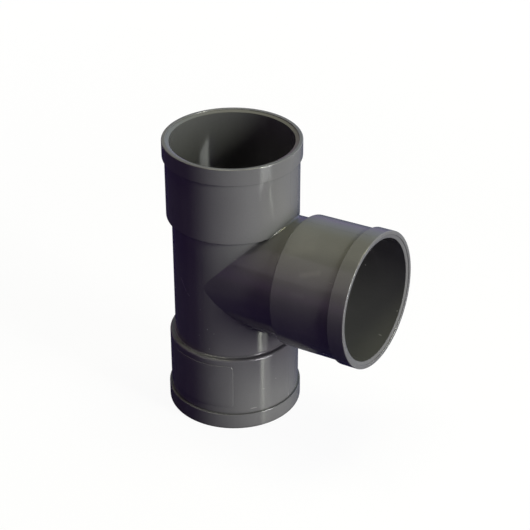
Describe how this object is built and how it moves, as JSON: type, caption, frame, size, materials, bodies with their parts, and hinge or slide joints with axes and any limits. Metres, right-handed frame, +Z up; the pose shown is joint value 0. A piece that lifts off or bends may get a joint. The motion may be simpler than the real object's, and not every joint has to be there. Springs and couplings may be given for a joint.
{
  "type": "drainage branch fitting",
  "caption": "One-piece grey plastic drainage tee, with plain collared pipe sockets at both ends of its upright run and on its near-square branch.",
  "frame": {"origin": "centre of the lower mouth's flat ring, on the run's axis, in the plane that the fitting stands on", "axes": "+Z up along the run to the upper mouth; +X towards the branch, which leans up by 2.5 degrees"},
  "size_m": [0.1451, 0.0842, 0.1824],
  "materials": {
    "pvc_grey": "moulded semi-gloss"
  },
  "bodies": {
    "root": {"tee_body": "pvc_grey"}
  },
  "joints": []
}
